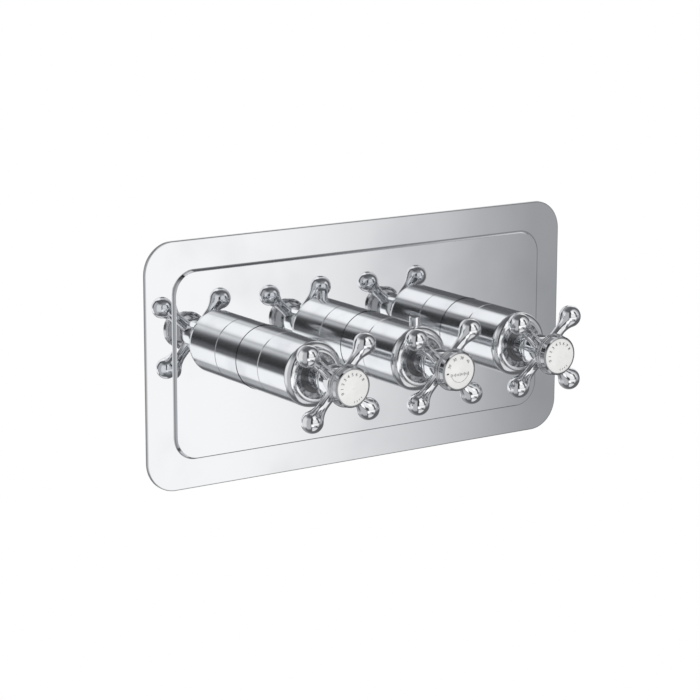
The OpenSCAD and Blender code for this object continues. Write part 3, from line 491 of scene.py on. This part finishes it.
def armRings():
    thin, sweep, ball, reach = handle["armThin"], handle["sweep"], handle["ball"], handle["ballReach"]
    root, flareEnd = handle["barrel"] * 0.5, handle["flareEnd"]
    start = reach - math.sqrt((ball + sweep) ** 2 - (thin + sweep) ** 2)
    meet = start + (reach - start) * sweep / (ball + sweep)
    rings = []
    for i in range(handle["flareSteps"] + 1):
        place = root + (flareEnd - root) * i / handle["flareSteps"]
        flare = handle["rootFlare"] * ((flareEnd - place) / handle["flareFall"]) ** 2
        rings.append((place, thin + flare))
    rings.append((start, thin))
    for i in range(1, handle["sweepSteps"] + 1):
        place = start + (meet - start) * i / handle["sweepSteps"]
        rings.append((place, thin + sweep - math.sqrt(sweep ** 2 - (place - start) ** 2)))
    first = math.acos((meet - reach) / ball)
    for i in range(1, handle["ballSteps"]):
        angle = first * (1 - i / handle["ballSteps"])
        rings.append((reach + ball * math.cos(angle), ball * math.sin(angle)))
    tipPlace, tipReach = handle["tip"]
    rings.append((reach + ball * tipPlace, ball * tipReach))
    return rings


# Rounds the four sides between the arms: a circle of the bow's radius in place of the barrel's
def bowSides(hub, turn):
    flat, bow = handle["barrel"], handle["bow"]
    low, high = handle["hubFrom"] - handle["slack"], handle["hubTo"] + handle["slack"]
    for point in hub.data.vertices:
        reach = math.hypot(point.co.x, point.co.y)
        if low < point.co.z < high and reach > handle["thread"] * 0.98:
            angle = (math.degrees(math.atan2(point.co.y, point.co.x)) - turn + 45) % 90 - 45
            across = math.sin(math.radians(angle)) ** 2 / (2 * bow)
            along = math.cos(math.radians(angle))
            side = flat if across < 1e-9 else (math.sqrt(along ** 2 + 4 * across * flat) - along) / (2 * across)
            point.co.x *= side / flat
            point.co.y *= side / flat


def makeHandle(side, x):
    turn = handle["turns"][side]
    start = -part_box("handle_" + side)[1][1] + handle["wallPlane"]
    low, high, ease, barrel = (handle[key] for key in ("hubFrom", "hubTo", "ease", "barrel"))
    thread, top = handle["thread"] - ease, high + handle["threadLen"]
    hub = turned("cross_handle_" + side, [
        (start, handle["neck"] - ease), (start + ease, handle["neck"]), (low, handle["neck"]),
        (low, barrel - 2 * ease), (low + ease / 2, barrel - ease / 2), (low + 2 * ease, barrel),
        (high - 2 * ease, barrel), (high - ease / 2, barrel - ease / 2), (high, barrel - 2 * ease),
        (high, thread), (top, thread)], handle["hubSides"])
    bowSides(hub, turn)
    for quarter in range(4):
        arm = turned("arm", armRings(), handle["armSides"])
        arm.matrix_world = (Matrix.Translation((0, 0, handle["armLevel"]))
                            @ Matrix.Rotation(math.radians(45 + 90 * quarter + turn), 4, "Z")
                            @ Matrix.Rotation(math.radians(90), 4, "Y"))
        bpy.context.view_layer.update()
        combine(hub, arm, "UNION")
    bore = turned("bore", [
        (start - ease, handle["bore"]), (handle["boreEnd"], handle["bore"]),
        (handle["boreEnd"], handle["screwHole"]), (handle["screwSeat"], handle["screwHole"]),
        (handle["screwSeat"], handle["headRoom"]), (top + ease, handle["headRoom"])], handle["boreSides"])
    combine(hub, bore, "DIFFERENCE")
    hub.matrix_world = (Matrix.Translation((x, handle["wallPlane"], 0))
                        @ Matrix.Rotation(math.radians(90), 4, "X"))
    settle(hub)
    bpy.ops.object.shade_smooth_by_angle(angle=math.radians(handle["smooth"]))
    finishIn(hub, castChrome)
    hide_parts("handle_" + side)
    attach(hub, handle["bodies"][side])


for side, x in zip(sides, controlPlaces):
    makeHandle(side, x)
print("handles made")


# Springs: each is a smoothed copy of its part, put on the body; their shortening is worked out but not applied
springs = {
    "return_spring": {"joint": "mixer_slide", "axis": (0, 1, 0), "anchor": (0, -11, 0), "travel": 1.02},
    "button_spring": {"joint": "button_press", "axis": (0, 0, 1), "anchor": (0, -120, 15.7), "travel": 2.1},
    "check_spring_hot": {"joint": "hot_check", "axis": (0, 0, 1), "anchor": (-30, -18, -22), "travel": 4},
    "check_spring_cold": {"joint": "cold_check", "axis": (0, 0, 1), "anchor": (30, -18, -22), "travel": 4},
}  # anchors and travels in millimetres


def makeSpring(name, spring):
    coil = bpy.data.objects.new("coil_" + name, nodes[name].data.copy())
    bpy.context.collection.objects.link(coil)
    selectOnly(coil)
    bpy.ops.object.mode_set(mode="EDIT")
    bpy.ops.mesh.select_all(action="SELECT")
    bpy.ops.mesh.remove_doubles(threshold=0.001 * mm)
    bpy.ops.object.mode_set(mode="OBJECT")
    bpy.ops.object.shade_smooth_by_angle(angle=math.radians(40))
    anchor = tuple(side * mm for side in spring["anchor"])
    along = spring["axis"].index(1)
    length = max(abs(corner[along] - anchor[along]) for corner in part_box(name))
    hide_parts(name)
    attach(coil, "body")
    1 - spring["travel"] * mm / length
    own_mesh(coil)


for name, spring in springs.items():
    makeSpring(name, spring)
print("springs ready")


# Marks fired into the index discs: plain numbers along an arc, ticks, a pointer
# and a dotted arc. Ticks are width and height, arcs are degrees and reach
marks = {
    "crown": -166.42 * mm, "dome": 66.5 * mm, "thick": 0.05 * mm, "proud": 0.03 * mm, "curveSteps": 4,
    "turns": {"left": 3.9, "mid": 2.5, "right": 0.5},
    "outer": {"words": "012345678", "size": 2.7 * mm, "reach": 7.6 * mm, "from": 196, "to": 28,
              "foot": (272, 284, 296, 308), "footReach": 8.4 * mm, "footTick": (0.28 * mm, 1.1 * mm)},
    "middle": {"words": ("20", "30", "38", "45"), "size": 2.5 * mm, "reach": 8 * mm, "from": 150, "to": 40,
               "ticks": 13, "tickPitch": 1.05 * mm, "tickDrop": -1.7 * mm, "tickWidth": 0.34 * mm,
               "tickTall": 1.9 * mm, "tickShort": 1.2 * mm, "pointer": (0.9 * mm, 1.8 * mm),
               "pointerAt": (182, 8.3 * mm), "dot": (1 * mm, 0.16 * mm), "dotReach": 6.4 * mm,
               "dotAngles": range(205, 340, 9)},
}


def onDisc(piece, centreX, across, up, spin):
    deep = marks["crown"] + marks["dome"] - math.sqrt(marks["dome"] ** 2 - across ** 2 - up ** 2) - marks["proud"]
    place = Matrix.Translation((centreX + across, deep, up)) @ Matrix.Rotation(spin, 4, "Y")
    piece.matrix_world = place @ Matrix.Rotation(math.radians(90), 4, "X")
    settle(piece)
    finishIn(piece, inkGrey)
    return piece


def writeNumber(word, size, *place):
    bpy.ops.object.select_all(action="DESELECT")
    bpy.ops.object.text_add()
    piece = bpy.context.object
    piece.data.body = word
    piece.data.size = size
    piece.data.align_x = "CENTER"
    piece.data.align_y = "CENTER"
    piece.data.extrude = marks["thick"] / 2
    piece.data.resolution_u = marks["curveSteps"]
    bpy.ops.object.convert(target="MESH")
    return onDisc(piece, *place)


def drawTick(width, height, *place):
    bpy.ops.object.select_all(action="DESELECT")
    bpy.ops.mesh.primitive_cube_add(size=1, scale=(width, height, marks["thick"]))
    piece = bpy.context.object
    bpy.ops.object.transform_apply(location=False, rotation=False, scale=True)
    bevel = piece.modifiers.new("Bevel", "BEVEL")
    bevel.width = width * 0.3
    bevel.segments = 2
    bevel.affect = "VERTICES"
    bpy.ops.object.modifier_apply(modifier=bevel.name)
    return onDisc(piece, *place)


def arcPlace(x, turn, angle, reach):
    at = math.radians(angle + turn)
    return x, reach * math.cos(at), reach * math.sin(at), math.radians(90 - angle - turn)


def writeArc(disc, x, turn):
    words, first, last = disc["words"], disc["from"], disc["to"]
    angles = [first + (last - first) * i / (len(words) - 1) for i in range(len(words))]
    return [writeNumber(word, disc["size"], *arcPlace(x, turn, angle, disc["reach"]))
            for word, angle in zip(words, angles)]


def markOuter(x, turn):
    disc = marks["outer"]
    return writeArc(disc, x, turn) + [
        drawTick(*disc["footTick"], *arcPlace(x, turn, angle, disc["footReach"])) for angle in disc["foot"]]


def markMiddle(x, turn):
    disc = marks["middle"]
    pieces = writeArc(disc, x, turn)
    for i in range(disc["ticks"]):
        across = (i - (disc["ticks"] - 1) / 2) * disc["tickPitch"]
        tall = disc["tickShort"] if i % 3 else disc["tickTall"]
        pieces.append(drawTick(disc["tickWidth"], tall, x, across, disc["tickDrop"], math.radians(-turn)))
    pieces.append(drawTick(*disc["pointer"], *arcPlace(x, turn, *disc["pointerAt"])))
    for angle in disc["dotAngles"]:
        pieces.append(drawTick(*disc["dot"], *arcPlace(x, turn, angle, disc["dotReach"])))
    return pieces


def markDisc(side, x):
    turn = marks["turns"][side]
    pieces = markMiddle(x, turn) if side == "mid" else markOuter(x, turn)
    bpy.ops.object.select_all(action="DESELECT")
    for piece in pieces:
        piece.select_set(True)
    bpy.context.view_layer.objects.active = pieces[0]
    bpy.ops.object.join()
    pieces[0].name = "marks_" + side
    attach(pieces[0], handle["bodies"][side])


for side in ("left", "right", "mid"):
    markDisc(side, controlPlaces[sides.index(side)])
print("discs marked")


# The studio: soft panels all round that only reflections see, and even light
# for everything else. Each panel is its turn from the front towards the right,
# its lift, the softness of its edges, all in degrees, and its level. The dark
# parts between the panels mirror a little cooler than the panels
studio = {
    "base": 0.14, "rear": 0.42, "rearFrom": (0.2, 0.9), "lightBelow": 0.85, "lightAbove": 1.1,
    "cool": (0.93, 0.955, 1.0, 1), "neutral": (1, 1, 1, 1),
    "floorLevel": -1200 * mm, "floorSize": 4.0, "floorWhite": (0.97, 0.97, 0.97, 1), "floorRough": 0.9,
    "panels": [
        {"turn": (-26, 37.2), "lift": (-23, -2.4), "soft": (6.5, 4), "level": 1.05},
        {"turn": (-26.5, 26), "lift": (-3.2, 29.5), "soft": (6, 5), "level": 0.96},
        {"turn": (-20, 19.4), "lift": (26, 64), "soft": (6, 7), "level": 1.18},
        {"turn": (-41, -10.8), "lift": (-36.4, -9), "soft": (3, 4), "level": 1.18},
        {"turn": (-12, 9.6), "lift": (-40, -28), "soft": (6.6, 4), "level": 0.55},
        {"turn": (22, 44), "lift": (-34, -16), "soft": (5.3, 5), "level": 0.55},
        {"turn": (28, 56), "lift": (-24, 0), "soft": (6, 7), "level": 0.38},
        {"turn": (46, 84), "lift": (-16, 62), "soft": (7, 14), "level": 0.48},
        {"turn": (-32, 42), "lift": (-84, -42), "soft": (10, 7), "level": 0.8},
        {"turn": (-104, -46), "lift": (-60, 50), "soft": (3, 16), "level": 0.52},
        {"turn": (-150, -84), "lift": (-40, 44), "soft": (14, 18), "level": 0.85},
        {"turn": (118, 158), "lift": (0, 46), "soft": (10, 12), "level": 1.0},
        {"turn": (-24, 58), "lift": (45, 70), "soft": (8, 6), "level": 0.82},
        {"turn": (43, 62), "lift": (7, 56), "soft": (5, 6), "level": 0.86},
    ],
    "shade": {"turn": (-40, -28.1), "lift": (1, 75), "soft": (3.1, 4), "level": 0.78},
}


def panelMask(turn, lift, panel):
    softTurn, softLift = panel["soft"]
    mask = None
    for angle, (low, high), soft in ((turn, panel["turn"], softTurn), (lift, panel["lift"], softLift)):
        window = angle.step(low - soft, low + soft) * (1 - angle.step(high - soft, high + soft))
        mask = window if mask is None else mask * window
    return mask


def studioLevel(start):
    view = start.node("TexCoord", output=0)
    parts = start.node("SeparateXYZ", inputs={0: view})
    across, depth, rise = (Wire(start.tree, parts.socket.node.outputs[i]) for i in range(3))
    turn = start.maths("ARCTAN2", across, depth * -1.0) * (180 / math.pi)
    lift = start.maths("ARCSINE", rise) * (180 / math.pi)
    level = studio["base"] + depth.step(*studio["rearFrom"]) * (studio["rear"] - studio["base"])
    for panel in studio["panels"]:
        level = start.maths("MAXIMUM", level, panelMask(turn, lift, panel) * panel["level"])
    return level * (1 - panelMask(turn, lift, studio["shade"]) * studio["shade"]["level"]), rise


def makeStudio():
    world = bpy.data.worlds.new("studioWorld")
    bpy.context.scene.world = world
    world.use_nodes = True
    world.cycles.sampling_method = "NONE"
    background = world.node_tree.nodes["Background"]
    start = Wire(world.node_tree)
    reflected, rise = studioLevel(start)
    even = studio["lightBelow"] + (rise + 1) * ((studio["lightAbove"] - studio["lightBelow"]) / 2)
    seen, diffuse = (start.node("LightPath", output=i) for i in (0, 2))
    level = seen + (1 - seen) * (diffuse * even + (1 - diffuse) * reflected)
    neutral = start.maths("MAXIMUM", reflected, start.maths("MAXIMUM", seen, diffuse))
    start.feed(background.inputs["Color"], neutral.blend(studio["cool"], studio["neutral"]))
    start.feed(background.inputs["Strength"], level)


def makeFloor():
    bpy.ops.object.select_all(action="DESELECT")
    bpy.ops.mesh.primitive_plane_add(size=studio["floorSize"], location=(0, 0, studio["floorLevel"]))
    floor = bpy.context.object
    floor.name = "floor"
    material, start, surface = startMaterial("paleFloor", {"Base Color": studio["floorWhite"],
                                                           "Roughness": studio["floorRough"]})
    seen = start.node("LightPath", output=0)
    glow = start.node("Emission", inputs={"Color": (1, 1, 1, 1), "Strength": 1.0})
    mixed = start.node("MixShader", inputs={0: seen, 1: Wire(start.tree, surface.outputs[0]), 2: glow})
    start.feed(start.tree.nodes["Material Output"].inputs["Surface"], mixed)
    floor.data.materials.append(material)
    floor.visible_glossy = False


# Camera, fitted to the plate's edges, the sleeves and the balls of the handles
view = {"target": Vector((-10.94, -68, -3.85)) * mm, "distance": 1527.65 * mm, "azimuth": 34.18,
        "elevation": 12.48, "roll": 0.152, "lens": 128.04, "sensor": 36}


def makeCamera():
    turn, lift = math.radians(view["azimuth"]), math.radians(view["elevation"])
    look = Vector((math.sin(turn) * math.cos(lift), math.cos(turn) * math.cos(lift), -math.sin(lift)))
    lensData = bpy.data.cameras.new("photoCamera")
    lensData.lens = view["lens"]
    lensData.sensor_width = view["sensor"]
    lensData.clip_start = 0.01
    camera = bpy.data.objects.new("photoCamera", lensData)
    bpy.context.collection.objects.link(camera)
    facing = look.to_track_quat("-Z", "Y").to_matrix() @ Matrix.Rotation(math.radians(view["roll"]), 3, "Z")
    camera.matrix_world = Matrix.Translation(view["target"] - look * view["distance"]) @ facing.to_4x4()
    bpy.context.scene.camera = camera


makeCamera()
makeStudio()
makeFloor()
bpy.context.scene.view_settings.view_transform = "Standard"
print("studio ready")
